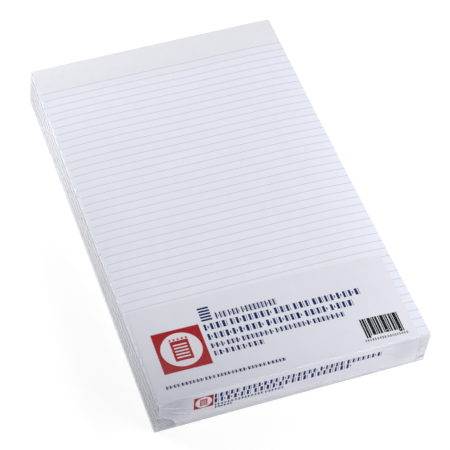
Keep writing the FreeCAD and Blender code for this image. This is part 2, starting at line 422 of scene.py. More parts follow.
def ruled_bond(settings):
    """Uncoated writing bond: matt, with a soft mottle, fine fibres and thin printed rules."""
    made, tree = new_tree("ruled_writing_bond")
    rules = settings.ruling
    place = add_node(tree, "TexCoord").outputs["Object"]
    axes = add_node(tree, "SeparateXYZ", {0: place}).outputs
    below = add_node(tree, "Math", {0: HEAD_Y - rules.first, 1: axes["Y"]}, operation="SUBTRACT").outputs[0]
    nearest = add_node(tree, "Math", {0: below, 1: rules.pitch / 2}, operation="PINGPONG").outputs[0]
    line = add_node(tree, "MapRange", {
        "Value": nearest, "From Max": rules.width, "To Min": 1.0, "To Max": 0.0}).outputs[0]
    started = add_node(tree, "Math", {0: below, 1: -rules.pitch / 2}, operation="GREATER_THAN").outputs[0]
    indented = add_node(tree, "Math", {0: axes["X"], 1: PAGE_LEFT + rules.inset},
                        operation="GREATER_THAN").outputs[0]
    inside = add_node(tree, "Math", {0: started, 1: indented}, operation="MULTIPLY").outputs[0]
    ink = add_node(tree, "Math", {0: inside, 1: line}, operation="MULTIPLY").outputs[0]
    # The rules' ink, seen from a little way off, makes the ruled paper look faintly bluer
    ruled = add_node(tree, "MapRange", {
        "Value": below, "From Min": -rules.pitch / 2, "From Max": 1.5 * rules.pitch}).outputs[0]
    paper = add_node(tree, "Mix", {
        "Factor": ruled, "A": opaque(settings.stack.paper), "B": opaque(rules.tinted)}, data_type="RGBA")
    # Clouds of about 7 mm, as held up to the light, at a strength that barely shows
    clouds = add_node(tree, "TexNoise", {"Vector": place, "Scale": 1 / (7 * MM), "Detail": 3.0})
    base = clouded(tree, paper.outputs["Result"], clouds.outputs["Fac"], 0.975)
    tone = add_node(tree, "Mix", {"Factor": ink, "A": base, "B": opaque(rules.ink)}, data_type="RGBA")
    # Fibres about 0.3 mm long
    fibres = add_node(tree, "TexNoise", {"Vector": place, "Scale": 1 / (0.3 * MM), "Detail": 2.0})
    matt_finish(tree, tone.outputs["Result"], 0.8, fibres.outputs["Fac"], 0.12, 0.02 * MM)
    return made


def cut_edges(settings):
    """Guillotined page edges: matt, with fine uneven lines along the sheets."""
    made, tree = new_tree("guillotined_page_edges")
    place = add_node(tree, "TexCoord").outputs["Object"]
    # The lines are drawn about 1.4 mm apart, because single sheets are too thin to show
    stretched = add_node(tree, "Mapping", {
        "Vector": place, "Scale": (1 / (25 * MM), 1 / (25 * MM), 1 / (1.4 * MM))}).outputs[0]
    lines = add_node(tree, "TexNoise", {"Vector": stretched, "Scale": 1.0, "Detail": 3.0}).outputs["Fac"]
    shade = add_node(tree, "MapRange", {
        "Value": lines, "From Min": 0.35, "From Max": 0.7, "To Max": 0.25}).outputs[0]
    tone = add_node(tree, "Mix", {"Factor": shade, "A": opaque(settings.stack.page_edge),
                                  "B": opaque(settings.stack.page_edge_shade)}, data_type="RGBA")
    matt_finish(tree, tone.outputs["Result"], 0.9, lines, 0.03, 0.08 * MM)
    return made


def chipboard(settings):
    """Grey chipboard, pressed from waste fibre: matt and flecked light and dark."""
    made, tree = new_tree("grey_chipboard")
    tone = settings.stack.board
    place = add_node(tree, "TexCoord").outputs["Object"]
    # Flecks of about 0.8 mm
    flecks = add_node(tree, "TexNoise", {"Vector": place, "Scale": 1 / (0.8 * MM), "Detail": 4.0})
    ramp = add_node(tree, "ValToRGB", {"Fac": flecks.outputs["Fac"]})
    dark, light = ramp.color_ramp.elements
    dark.position = 0.35
    dark.color = opaque(tuple(0.7 * c for c in tone))
    light.position = 0.62
    light.color = opaque(tuple(min(1.2 * c, 1) for c in tone))
    matt_finish(tree, ramp.outputs[0], 0.92, flecks.outputs["Fac"], 0.4, 0.06 * MM)
    return made


def padding_gum(settings):
    """Dried white padding gum, brushed on: a low rubbery sheen with soft brush waves."""
    made, tree = new_tree("dried_padding_gum")
    place = add_node(tree, "TexCoord").outputs["Object"]
    # Brush waves 14 mm long and 1.6 mm high
    brushed = add_node(tree, "Mapping", {
        "Vector": place, "Scale": (1 / (14 * MM), 1 / (14 * MM), 1 / (1.6 * MM))}).outputs[0]
    waves = add_node(tree, "TexNoise", {"Vector": brushed, "Scale": 1.0, "Detail": 2.0}).outputs["Fac"]
    tone = clouded(tree, opaque(settings.stack.gum), waves, 0.93)
    matt_finish(tree, tone, 0.5, waves, 0.5, 0.15 * MM)
    return made


def label_stock(settings):
    """Machine-finished label paper: smoother than the pages, with a faint cloud."""
    made, tree = new_tree("machine_finished_label_paper")
    place = add_node(tree, "TexCoord").outputs["Object"]
    # Clouds of about 11 mm and fibres about 0.4 mm long
    clouds = add_node(tree, "TexNoise", {"Vector": place, "Scale": 1 / (11 * MM), "Detail": 3.0})
    fibres = add_node(tree, "TexNoise", {"Vector": place, "Scale": 1 / (0.4 * MM), "Detail": 2.0})
    tone = clouded(tree, opaque(settings.label.stock), clouds.outputs["Fac"], 0.98)
    matt_finish(tree, tone, 0.55, fibres.outputs["Fac"], 0.06, 0.01 * MM)
    return made


def offset_ink(name, tone):
    """Flat offset ink on paper: an even matt field that thins a little over the fibres."""
    made, tree = new_tree("offset_ink_" + name)
    place = add_node(tree, "TexCoord").outputs["Object"]
    # The ink thins over tufts of about 0.7 mm
    fibres = add_node(tree, "TexNoise", {"Vector": place, "Scale": 1 / (0.7 * MM), "Detail": 3.0})
    thin = add_node(tree, "MapRange", {
        "Value": fibres.outputs["Fac"], "From Min": 0.5, "From Max": 0.8, "To Max": 0.14}).outputs[0]
    paler = tuple(c + 0.35 * (1 - c) for c in tone)
    mixed = add_node(tree, "Mix", {"Factor": thin, "A": opaque(tone), "B": opaque(paler)}, data_type="RGBA")
    shader = add_node(tree, "BsdfPrincipled", {
        "Base Color": mixed.outputs["Result"], "Roughness": 0.6, "Specular IOR Level": 0.03}).outputs[0]
    add_node(tree, "OutputMaterial", {"Surface": shader})
    return made


def shrink_film(settings):
    """Clear polyolefin shrink film: near invisible flat on, bright at its edges and creases.

    It lets light through and adds a mirror light that grows as the film turns edge on. A milky white
    is painted on it as glints along its top edges, on its wrinkles and in streaks on its front, and as
    an even haze on its left side. A grey is painted on its folded flap, for the layers of film and the
    shade in them, as the shadow under its tuck, and as shade towards its left corners and high on its
    front.
    """
    made, tree = new_tree("clear_shrink_film")
    film = settings.film
    place = add_node(tree, "TexCoord").outputs["Object"]
    # Slack ripples about 30 mm long, as film keeps after the heat tunnel
    ripples = add_node(tree, "TexNoise", {"Vector": place, "Scale": 1 / (30 * MM), "Detail": 2.0})
    bump = add_node(tree, "Bump", {
        "Height": ripples.outputs["Fac"], "Strength": 0.5, "Distance": 0.8 * MM}).outputs[0]
    edge_on = add_node(tree, "Fresnel", {"IOR": 1.49, "Normal": bump}).outputs[0]
    mirror = add_node(tree, "Math", {0: edge_on, 1: film.gloss}, operation="MULTIPLY").outputs[0]
    through = add_node(tree, "BsdfTransparent", {"Color": opaque(film.clear)}).outputs[0]
    gloss = add_node(tree, "BsdfGlossy", {"Roughness": 0.12, "Normal": bump}).outputs[0]
    sheet = add_node(tree, "MixShader", {0: mirror, 1: through, 2: gloss}).outputs[0]
    # This white share holds painted glints along the edges, on the wrinkles and in the front's streaks, and
    # the left side's even haze
    drawn = add_node(tree, "Attribute", attribute_name="drawn").outputs["Fac"]
    glints_and_haze_share = add_node(tree, "Math", {0: drawn, 1: film.haze}, operation="MULTIPLY").outputs[0]
    milk = add_node(tree, "BsdfDiffuse", {"Color": opaque(film.milk)}).outputs[0]
    with_glints_and_haze = add_node(tree, "MixShader", {0: glints_and_haze_share, 1: sheet, 2: milk}).outputs[0]
    # The grey share is the flap's layers of film with painted shade, the painted shadow under the tuck and
    # painted shade towards the corners
    fold_and_shade_share = add_node(tree, "Attribute", attribute_name="folded").outputs["Fac"]
    grey = add_node(tree, "BsdfDiffuse", {"Color": opaque(film.folded)}).outputs[0]
    surface = add_node(tree, "MixShader", {0: fold_and_shade_share, 1: with_glints_and_haze, 2: grey}).outputs[0]
    add_node(tree, "OutputMaterial", {"Surface": surface})
    return made


def plainly_seen(tree):
    """1 for what is seen straight, in a mirror or through something clear, and 0 for soft light."""
    path = add_node(tree, "LightPath").outputs
    seen = add_node(tree, "Math", {0: path["Is Camera Ray"], 1: path["Is Glossy Ray"]},
                    operation="MAXIMUM").outputs[0]
    return add_node(tree, "Math", {0: seen, 1: path["Is Transmission Ray"]}, operation="MAXIMUM").outputs[0]


def studio_floor(settings):
    """A pale seamless floor: white where it is plainly seen, with the soft shadows kept."""
    made, tree = new_tree("seamless_studio_floor")
    lit = add_node(tree, "BsdfDiffuse", {"Color": opaque(settings.stage.floor)}).outputs[0]
    # A faintly lit grey keeps the shadows, and a glow carries it up to white
    faint = add_node(tree, "BsdfDiffuse", {"Color": (0.25, 0.25, 0.25, 1)}).outputs[0]
    glow = add_node(tree, "Emission", {"Color": (1, 1, 1, 1), "Strength": 0.8}).outputs[0]
    white = add_node(tree, "AddShader", {0: faint, 1: glow}).outputs[0]
    surface = add_node(tree, "MixShader", {0: plainly_seen(tree), 1: lit, 2: white}).outputs[0]
    add_node(tree, "OutputMaterial", {"Surface": surface})
    return made


# Pads

# Points across a block, and along it, or along one that is no deeper than a strip
POINTS_ACROSS = 44
POINTS_ALONG = 64
STRIP_POINTS = 3
STRIP_DEPTH = 5 * MM
# Rows up a board and up a strip of gum; a block of sheets has one row for each sheet
BOARD_ROWS = 6
GUM_ROWS = 24
# Length of the slow waves along the rows
EDGE_WAVE = 130 * MM


def uneven_rows(generator, rows, around, relief):
    """Inward offset of every row of a block's side at every place around it.

    offset = relief (0.8 r + 0.2 w), where r is random for the row and
    w = (1 + sin(2 pi p / wave + phase)) / 2 is a slow wave with a random phase for the row.
    """
    count = rows.max() + 1
    resting = generator.random(count)[rows]
    phase = generator.random(count)[rows] * 2 * math.pi
    wave = (1 + np.sin(2 * math.pi * around / EDGE_WAVE + phase)) / 2
    return relief * (0.8 * resting + 0.2 * wave)


def node_height(node):
    """The height of a node's top above the stack's base, in the stack's middle."""
    return corners(node)[1][2] - STACK_BASE


def add_block(number, kind, name, levels, rows, relief, seed, materials, sizes, gummed=True):
    """Add one flat block of a pad between two of the stack's bowed surfaces.

    levels are its lower and upper heights in the stack's middle. With shares a, b and c
    across, along and up it, x and y are linear in a and b, and z = S(lower) + c (S(upper) -
    S(lower)). Its sides are pushed in row by row, apart from a gummed one's far side.
    """
    pad = "pad_" + str(number)
    low, high = corners(pad + "_" + kind)
    width, depth = (high - low)[:2]
    along = eased(POINTS_ALONG) if depth > STRIP_DEPTH else np.linspace(0, 1, STRIP_POINTS)
    a, b, c, quads = lattice(eased(POINTS_ACROSS), along, np.linspace(0, 1, rows + 1))
    row = np.round(c * rows).astype(int)
    x = low[0] + a * width
    y = low[1] + b * depth
    inset = uneven_rows(np.random.default_rng(seed + number), row, x + y, relief)
    z = stack_surface(x, y, levels[0], sizes)
    z = z + c * (stack_surface(x, y, levels[1], sizes) - z)
    x = x + inset * (a == 0) - inset * (a == 1)
    y = y + inset * (b == 0)
    if not gummed:
        y = y - inset * (b == 1)
    on_top = (c[quads] == 1).all(1)
    piece = add_piece(pad + "_" + name, np.stack([x, y, z], -1), quads, materials, [pad + "_" + kind],
                      on_top * (len(materials) - 1))
    sharpen(piece)


def pad_levels():
    """Each pad's number and the heights of its board's underside, its board's top and its top."""
    for number in range(1, PAD_COUNT + 1):
        bottom = node_height("pad_" + str(number + 1) + "_sheets") if number < PAD_COUNT else 0.0
        pad = "pad_" + str(number)
        yield number, bottom, node_height(pad + "_board"), node_height(pad + "_sheets")


class WRITINGPADS_OT_sheets(bpy.types.Operator):
    """Build every pad's block of sheets, with the top page ruled"""
    bl_idname = "writingpads.sheets"
    bl_label = "Sheets"

    def execute(self, context):
        settings = context.scene.writing_pads
        sizes = settings.stack
        edges = cut_edges(settings)
        top = ruled_bond(settings)
        for number, _, board_top, sheets_top in pad_levels():
            materials = [edges, top] if number == 1 else [edges]
            add_block(number, "sheets", "page_block", (board_top, sheets_top), sizes.sheets,
                      sizes.sheet_relief, SHEET_SEED, materials, sizes)
        return {"FINISHED"}


class WRITINGPADS_OT_boards(bpy.types.Operator):
    """Build every pad's chipboard back"""
    bl_idname = "writingpads.boards"
    bl_label = "Boards"

    def execute(self, context):
        settings = context.scene.writing_pads
        sizes = settings.stack
        made = chipboard(settings)
        for number, bottom, board_top, _ in pad_levels():
            add_block(number, "board", "back_board", (bottom, board_top), BOARD_ROWS, sizes.board_relief,
                      BOARD_SEED, [made], sizes)
        return {"FINISHED"}


class WRITINGPADS_OT_gum(bpy.types.Operator):
    """Build every pad's strip of padding gum"""
    bl_idname = "writingpads.gum"
    bl_label = "Padding gum"

    def execute(self, context):
        settings = context.scene.writing_pads
        sizes = settings.stack
        made = padding_gum(settings)
        for number, bottom, _, sheets_top in pad_levels():
            add_block(number, "gum", "gum_strip", (bottom, sheets_top), GUM_ROWS, sizes.gum_relief,
                      GUM_SEED, [made], sizes, gummed=False)
        return {"FINISHED"}


# The label

FOLD_RADIUS = 0.12 * MM
LABEL_POINTS = 60
# Each stretch of the label's rows: on the page, on the page near the fold, round the fold and
# on the front. Its start and end count as 0 to 1 on the page, 1 to 2 round the fold and 2 to
# 3 on the front, and last comes how many steps it takes
LABEL_ROWS = ((0, 0.8, 15), (0.8, 1, 15), (1, 2, 8), (2, 3, 11))


def label_place(across, along, out, settings):
    """A point of the label: across from the page's left edge and along from its head.

    Both run along the label's own edges. They are first turned about the point where its
    left edge crosses the fold: x = dx cos t - dy sin t and s = dx sin t + dy cos t. Then the
    point is (x, y, S + out) on the page, an arc of radius r + out round the fold, with the
    angle (s + r) / r, and straight down from there.
    """
    label = settings.label
    cos = math.cos(label.turn)
    sin = math.sin(label.turn)
    right = across - label.inset
    past = along - PAGE_LENGTH
    x = PAGE_LEFT + label.inset + right * cos - past * sin
    past = right * sin + past * cos
    turn = np.clip((past + FOLD_RADIUS) / (2 * FOLD_RADIUS), 0, 1) * math.pi / 2
    down = np.maximum(past - FOLD_RADIUS, 0)
    level = FOOT_Y - np.minimum(past, -FOLD_RADIUS)
    surface = stack_surface(x, level, STACK_HEIGHT, settings.stack)
    y = level - (FOLD_RADIUS + out) * np.sin(turn)
    height = surface - FOLD_RADIUS + (FOLD_RADIUS + out) * np.cos(turn)
    return np.stack([x, y, height - down * (surface - STACK_BASE) / STACK_HEIGHT], -1)


class WRITINGPADS_OT_label(bpy.types.Operator):
    """Build the paper label, folded over the foot"""
    bl_idname = "writingpads.label"
    bl_label = "Label"

    def execute(self, context):
        settings = context.scene.writing_pads
        label = settings.label
        rows = np.unique(np.concatenate([np.linspace(start, end, steps + 1)
                                         for start, end, steps in LABEL_ROWS]))
        a, row, c, quads = lattice(label.inset + eased(LABEL_POINTS) * label.width, rows,
                                   np.array([label.slack, label.slack + label.thickness]))
        past_top = label.top_panel - (a - label.inset) * math.tan(label.turn) - FOLD_RADIUS
        front = label.top_panel + label.front_panel - past_top - 2 * FOLD_RADIUS
        b = PAGE_LENGTH - label.top_panel + np.clip(row, 0, 1) * past_top
        b = b + np.clip(row - 1, 0, 1) * 2 * FOLD_RADIUS + np.clip(row - 2, 0, 1) * front
        points = label_place(a, b, c, settings)
        # The way along the label runs against Y, so the quads are turned to face outwards
        piece = add_piece("label_folded_sheet", points, quads[:, ::-1], [label_stock(settings)],
                          ["label_sheet"])
        sharpen(piece)
        return {"FINISHED"}


# The label's print

# Where it lies along the label's own edges, in millimetres: from the page's left edge, and
# from its head, which goes on past the fold at the page's length of 355 mm
SQUARES = (
    (12.2, 49.2, 294.3, 332.0),
    (27.6, 42.6, 359.6, 373.8),
)
# A stack of as many bars as there are pads, and how much of each step a bar fills
STACK_SIGN = (52.4, 61.0, 280.3, 293.1)
STACK_FILL = 0.62
# Each line of text also has the weight of its strokes
TEXT_LINES = (
    (64.0, 111.5, 287.6, 293.5, 1.0),
    (52.5, 175.5, 296.1, 302.1, 1.0),
    (52.6, 166.9, 305.3, 311.1, 1.0),
    (52.5, 156.6, 314.4, 319.0, 1.05),
    (52.6, 90.7, 321.5, 326.1, 0.85),
    (9.8, 100.8, 342.3, 345.0, 1.3),
    (43.4, 174.1, 359.8, 364.9, 0.95),
    (43.5, 150.2, 365.5, 371.0, 0.9),
    (43.9, 97.3, 372.3, 375.1, 0.9),
    (44.0, 57.4, 375.8, 378.1, 1.4),
)
CODE_FIELD = (165.0, 195.0, 325.5, 341.7)
CODE_CAPTION = (163.0, 197.1, 344.2, 346.4, 0.75)
# How much longer the code's outer bars are
CODE_GUARD = 1.7
# The code's bars and gaps in a unit of their own, and how many units they fill or just pass
CODE_WIDTHS = (3.0, 4.0, 2.0, 6.0, 2.0)
CODE_GAPS = (1.0, 1.0, 1.0, 2.0)
CODE_UNITS = 70
# Blocks that stand for letters, in shares of the line's height: the narrowest and widest
# heavy block, the gaps after a heavy and a light one, what a gap between words adds, and the
# room that a new word needs
HEAVY_BLOCK = (0.32, 0.42)
HEAVY_GAP = 0.17
LIGHT_GAP = 0.26
WORD_GAP = 0.23
WORD_ROOM = 1.5
# A light block's ends across the line and its width, at full height and short, and the share
# of them at full height
TALL_LIGHT = (0.0, 1.0, 0.08)
SHORT_LIGHT = (0.3, 0.72, 0.16)
TALL_SHARE = 0.6
# A word has at least the first number of pairs, and fewer than the second
WORD_PAIRS = (3, 10)
# About how far apart a printed rectangle's points are, and how many a disc has on a side
INK_STEP = 5 * MM
DISC_POINTS = 25
# Share of an ink's thickness by which it reaches into what lies under it
INK_SINK = 0.4


def letter_blocks(zone, generator):
    """Plain upright blocks that fill a line of text's place, grouped as words.

    Each pair is a heavy block and a light one. The whole is stretched to end where the line
    ends.
    """
    left, right, top, bottom, weight = zone
    tall = bottom - top
    blocks = []
    reach = 0.0
    while reach < right - left - WORD_ROOM * tall:
        for _ in range(generator.integers(*WORD_PAIRS)):
            heavy = weight * tall * generator.uniform(*HEAVY_BLOCK)
            blocks.append((reach, reach + heavy, 0.0, 1.0))
            reach += heavy + HEAVY_GAP * tall
            low, high, light = TALL_LIGHT if generator.random() < TALL_SHARE else SHORT_LIGHT
            blocks.append((reach, reach + weight * light * tall, low, high))
            reach += weight * light * tall + LIGHT_GAP * tall
        reach += WORD_GAP * tall
    stretch = (right - left) / (reach - (LIGHT_GAP + WORD_GAP) * tall)
    return [(left + stretch * start, left + stretch * end, top + low * tall, top + high * tall)
            for start, end, low, high in blocks]


def stacked_bars(zone, count, fill):
    """A zone filled from top to bottom by equal bars; fill is the inked share of a step."""
    left, right, top, bottom = zone
    step = (bottom - top) / (count - 1 + fill)
    return [(left, right, top + i * step, top + (i + fill) * step) for i in range(count)]


def code_bars(zone):
    """A field of upright bars in a row of widths that repeats, so that it codes nothing.

    The two bars at either end are longer.
    """
    left, right, top, bottom = zone
    ends = []
    reach = 0.0
    while reach < CODE_UNITS:
        ends.append((reach, reach + CODE_WIDTHS[len(ends) % len(CODE_WIDTHS)]))
        reach = ends[-1][1] + CODE_GAPS[len(ends) % len(CODE_GAPS)]
    unit = (right - left) / ends[-1][1]
    last = len(ends) - 2
    return [(left + start * unit, left + end * unit, top, bottom + CODE_GUARD * (i < 2 or i >= last))
            for i, (start, end) in enumerate(ends)]


def page_sign(zone):
    """A small pad shown on a white disc: the disc's middle and radius, and the pad's parts.

    The parts are its page with five stubs of binding over it, and its ruling, all in shares
    of the zone's width from its middle.
    """
    left, right, top, bottom = zone
    wide = right - left
    middle = ((left + right) / 2, (top + bottom) / 2)
    page = (middle[0] - 0.19 * wide, middle[0] + 0.19 * wide,
            middle[1] - 0.23 * wide, middle[1] + 0.27 * wide)
    binding = [(middle[0] + (0.085 * i - 0.19) * wide, middle[0] + (0.085 * i - 0.15) * wide,
                page[2] - 0.06 * wide, page[2] - 0.015 * wide) for i in range(5)]
    ruling = stacked_bars((page[0] + 0.05 * wide, page[1] - 0.05 * wide,
                           page[2] + 0.09 * wide, page[3] - 0.07 * wide), 5, 0.4)
    return middle + (0.42 * wide,), [page] + binding, ruling


def printed_field(zone, bottom, top, settings):
    """One rectangle of ink on the label, as a closed patch that follows its surface."""
    left, right, near, far = (value * MM for value in zone)
    across = np.linspace(left, right, 2 + int((right - left) / INK_STEP))
    along = np.linspace(near, far, 2 + int((far - near) / INK_STEP))
    a, b, c, quads = lattice(across, along, np.array([bottom, top]))
    return label_place(a, b, c, settings), quads[:, ::-1]


def printed_disc(disc, bottom, top, settings):
    """A disc of ink, from a square of points (u, v): (u sqrt(1 - v^2 / 2), v sqrt(1 - u^2 / 2))."""
    x, y, radius = (value * MM for value in disc)
    steps = np.linspace(-1, 1, DISC_POINTS)
    u, v, c, quads = lattice(steps, steps, np.array([bottom, top]))
    across = x + radius * u * np.sqrt(1 - v * v / 2)
    along = y + radius * v * np.sqrt(1 - u * u / 2)
    return label_place(across, along, c, settings), quads[:, ::-1]


def add_print(name, zones, layer, tone, settings):
    """Add all the fields of one ink as one piece; layer counts inks laid on each other.

    A zone of three numbers is a disc, and one of four a rectangle.
    """
    label = settings.label
    bottom = label.slack + label.thickness + (layer - INK_SINK) * label.ink_thickness
    top = bottom + (1 + INK_SINK) * label.ink_thickness
    parts = [(printed_disc if len(zone) == 3 else printed_field)(zone, bottom, top, settings)
             for zone in zones]
    shift = np.cumsum([0] + [len(points) for points, quads in parts[:-1]])
    points = np.concatenate([points for points, quads in parts])
    quads = np.concatenate([quads + offset for (_, quads), offset in zip(parts, shift)])
    add_piece("label_print_" + name, points, quads, [offset_ink(name, tone)], [],
              smooth=False)


class WRITINGPADS_OT_print(bpy.types.Operator):
    """Print the label with plain fields, bars and blocks"""
    bl_idname = "writingpads.print"
    bl_label = "Print"

    def execute(self, context):
        settings = context.scene.writing_pads
        label = settings.label
        generator = np.random.default_rng(INK_SEED)
        navy = stacked_bars(STACK_SIGN, PAD_COUNT, STACK_FILL)
        for zone in TEXT_LINES:
            navy += letter_blocks(zone, generator)
        black = code_bars(CODE_FIELD) + letter_blocks(CODE_CAPTION, generator)
        discs, pages, rulings = zip(*(page_sign(zone) for zone in SQUARES))
        add_print("navy", navy, 0, label.navy, settings)
        add_print("black", black, 0, label.black, settings)
        add_print("red", SQUARES, 0, label.red, settings)
        add_print("white_discs", discs, 1, label.white, settings)
        add_print("red_pages", sum(pages, []), 2, label.red, settings)
        add_print("white_lines", sum(rulings, []), 3, label.white, settings)
        return {"FINISHED"}


# The film

# Half widths of a pleat, a drag wrinkle, its glint, the tuck, the shadow under it and the seal
PLEAT_HALF = 1.1 * MM
DRAG_HALF = 1.6 * MM
GLINT_HALF = 1.3 * MM
TUCK_HALF = 0.9 * MM
SHADOW_HALF = 1.1 * MM
SEAL_HALF = 0.9 * MM
# How soft the folded flap's edges are
EAR_EDGE = 0.5 * MM
# Painted glints of the film's slack ripples on its front, in millimetres: start and end as the
# distance from the page's left edge and the height, then the half width, and last the strength
GLINTS = (
    (56, 15, 102, 3.5, 1.6, 0.3),
    (75, 14, 128, 4, 1.2, 0.2),
    (116, 9, 152, 3.8, 2.2, 0.5),
    (150, 6.5, 182, 4, 1.8, 0.4),
    (186, 14, 203, 6, 2.0, 0.25),
    (174, 29, 184, 20, 3.0, 0.16),
    (166, 31, 206, 32.5, 1.8, 0.14),
    (203, 1, 209, 20, 4.0, 0.4),
)
# How far in from its left and right sides the film has close points for its gathers, and how
# many it has there, round an edge, across the rest of each half, along it and up it
GATHERED = 40 * MM
GATHER_POINTS = 90
EDGE_POINTS = 5
MIDDLE_POINTS = 12
LENGTH_POINTS = 72
HEIGHT_POINTS = 90


def from_line(u, z, start, end):
    """The share of the way along a line at which each place of a face lies, and how far off."""
    run = (end[0] - start[0], end[1] - start[1])
    share_along = ((u - start[0]) * run[0] + (z - start[1]) * run[1]) / (run[0] ** 2 + run[1] ** 2)
    inside = np.clip(share_along, 0, 1)
    return inside, np.hypot(u - start[0] - inside * run[0], z - start[1] - inside * run[1])


def crease(u, z, start, end, rise, half_width):
    """A ridge on a face from a start to an end: rise (1 - 0.9 t) (1 - (d / w)^2)^2.

    t is the share of the way along it, and d the distance from its line.
    """
    t, distance = from_line(u, z, start, end)
    return rise * (1 - 0.9 * t) * np.maximum(1 - (distance / half_width) ** 2, 0) ** 2


def streak(u, z, start, end, half_width):
    """A soft line on a face: (1 - (d / w)^2)^2 across it and sqrt(4 t (1 - t)) along it."""
    t, distance = from_line(u, z, start, end)
    return np.sqrt(4 * t * (1 - t)) * np.maximum(1 - (distance / half_width) ** 2, 0) ** 2


def fan_pleats(u, z, film):
    """Rise of the fan of pleats at a corner's foot; u is the distance in from the corner."""
    rise = np.zeros_like(u)
    for i in range(film.pleats):
        slope = film.pleat_lowest + (film.pleat_highest - film.pleat_lowest) * i / (film.pleats - 1)
        way = (math.cos(slope), math.sin(slope))
        reach = film.pleat_start + (film.pleat_short if i % 2 else film.pleat_long)
        start = (film.pleat_start * way[0], film.seal_height + film.pleat_start * way[1])
        end = (reach * way[0], film.seal_height + reach * way[1])
        rise = np.maximum(rise, crease(u, z, start, end, film.pleat_rise, PLEAT_HALF))
    return rise


def ear_share(u, z, film):
    """Share of the folded flap at a place: 1 inside its quarter disc, with soft edges."""
    right = u - film.ear_inset
    up = z - film.seal_height
    inside = np.clip((film.ear_radius - np.hypot(right, up)) / EAR_EDGE, 0, 1)
    return inside * np.clip(right / EAR_EDGE, 0, 1) * np.clip(up / EAR_EDGE + 0.5, 0, 1)


def folded_corner(u, z, film):
    """Rise, painted glints and grey of the film by a corner on the side where it is folded.

    The drag wrinkles carry painted glints. The flap is grey for its layers of film and for painted shade,
    with stripes of painted crease shade, sin(q / 0.36 mm + 1.3 sin(p / 2.6 mm)), that run down and away
    from the corner along p. Its painted shade deepens towards its round edge, which a painted highlight
    line follows.
    """
    pleats = fan_pleats(u, z, film)
    ear = ear_share(u, z, film)
    rise = np.maximum(pleats, film.ear_rise * ear)
    drawn = np.zeros_like(u)
    for i in range(film.drags):
        start = film.drag_start + film.drag_shift * i
        height = STACK_BASE + STACK_HEIGHT - film.drag_depth - film.drag_spacing * i
        end = (start + film.drag_length, height - film.drag_fall)
        rise = np.maximum(rise, crease(u, z, (start, height), end, film.drag_rise, DRAG_HALF))
        # Its glint starts a little before it, and each one's is fainter than the last one's
        glint = streak(u, z, (start - 1 * MM, height + 0.5 * MM), end, GLINT_HALF)
        drawn = np.maximum(drawn, (0.9 - 0.2 * i) * glint)
    p = 0.5 * u - 0.87 * z
    q = 0.87 * u + 0.5 * z
    stripes = 0.5 + 0.5 * np.sin(q / (0.36 * MM) + 1.3 * np.sin(p / (2.6 * MM)))
    from_middle = np.hypot(u - film.ear_inset, z - film.seal_height)
    edge = from_middle - film.ear_radius - 0.7 * MM
    rim = np.exp(-(edge / (0.6 * MM)) ** 2) * (z > film.seal_height) * (u > film.ear_inset)
    drawn = np.maximum(drawn, 0.7 * rim)
    depth = 0.1 + 0.16 * stripes + 0.22 * np.clip(from_middle / film.ear_radius, 0, 1) ** 3
    return rise, drawn, ear * depth


def sealed_corner(u, z, film):
    """Rise of the pleats and the tuck, a painted highlight on the tuck and the painted shadow under it, by
    a corner where two seals meet.
    """
    start = (film.tuck_start, film.tuck_height)
    end = (film.tuck_start + film.tuck_length, film.tuck_height - film.tuck_fall)
    tuck = crease(u, z, start, end, film.tuck_rise, TUCK_HALF)
    # The shadow lies 0.5 mm under the tuck
    shadow = crease(u, z + 0.5 * MM, start, end, 1.0, SHADOW_HALF)
    return np.maximum(fan_pleats(u, z, film), tuck), 0.5 * tuck / film.tuck_rise, np.clip(shadow, 0, 1)


def facing(way):
    """How far each place faces left, front and up, from 0 to 1."""
    return np.clip(-way[:, 0], 0, 1), np.clip(-way[:, 1], 0, 1), np.clip(way[:, 2], 0, 1)


def tight_milk(x, y, c, share_across, way):
    """Painted white glints along the top edges and in streaks on the front, and an even haze down the left
    side.

    The left edge glints along its length as 0.75 (0.5 + 0.5 sin(y / 2.1 mm + 2 sin(y / 7 mm))),
    the foot's edge grows from 0.2 on the left to 0.6 on the right, and the left side is 0.15.
    """
    left, front, _ = facing(way)
    waves = 0.5 + 0.5 * np.sin(y / (2.1 * MM) + 2 * np.sin(y / (7 * MM)))
    left_edge = 0.75 * np.clip(-4 * way[:, 0] * way[:, 2], 0, 1) * waves
    foot_edge = np.clip(-4 * way[:, 1] * way[:, 2], 0, 1) * (0.2 + 0.4 * share_across)
    milk = np.maximum.reduce([left_edge, foot_edge, 0.15 * left])
    for start_x, start_z, end_x, end_z, half_width, strength in GLINTS:
        line = streak(x - PAGE_LEFT, c, (start_x * MM, start_z * MM), (end_x * MM, end_z * MM),
                      half_width * MM)
        milk = np.maximum(milk, np.abs(way[:, 1]) * front * strength * line)
    return milk


def corner_grey(a, b, c, deep, way):
    """Painted shade on the film: darker towards the left corners and high up on the front.

    From the near corner it falls as 0.14 exp(-(a / 85 mm)^2 - (b / 50 mm)^2) on the top, and
    as 0.17 exp(-(b / 35 mm)^2) down the left side, where it is 0.14 at the far corner, falls
    over 40 mm and never goes under 0.02. High up on the front it is 0.22 at 13 mm in from
    the left and falls over 16 mm, and 0.11 at 195 mm in and falls over 15 mm.
    """
    left, front, top = facing(way)
    on_top = 0.14 * top * np.exp(-(a / (85 * MM)) ** 2 - (b / (50 * MM)) ** 2)
    on_side = left * (0.02 + 0.17 * np.exp(-(b / (35 * MM)) ** 2)
                      + 0.14 * np.exp(-((deep - b) / (40 * MM)) ** 2))
    high = 1 / (1 + np.exp((12 * MM - c) / (2.5 * MM)))
    on_front = front * high * (0.22 * np.exp(-((a - 13 * MM) / (16 * MM)) ** 2)
                               + 0.11 * np.exp(-((a - 195 * MM) / (15 * MM)) ** 2))
    return np.maximum.reduce([on_top, on_side, on_front])


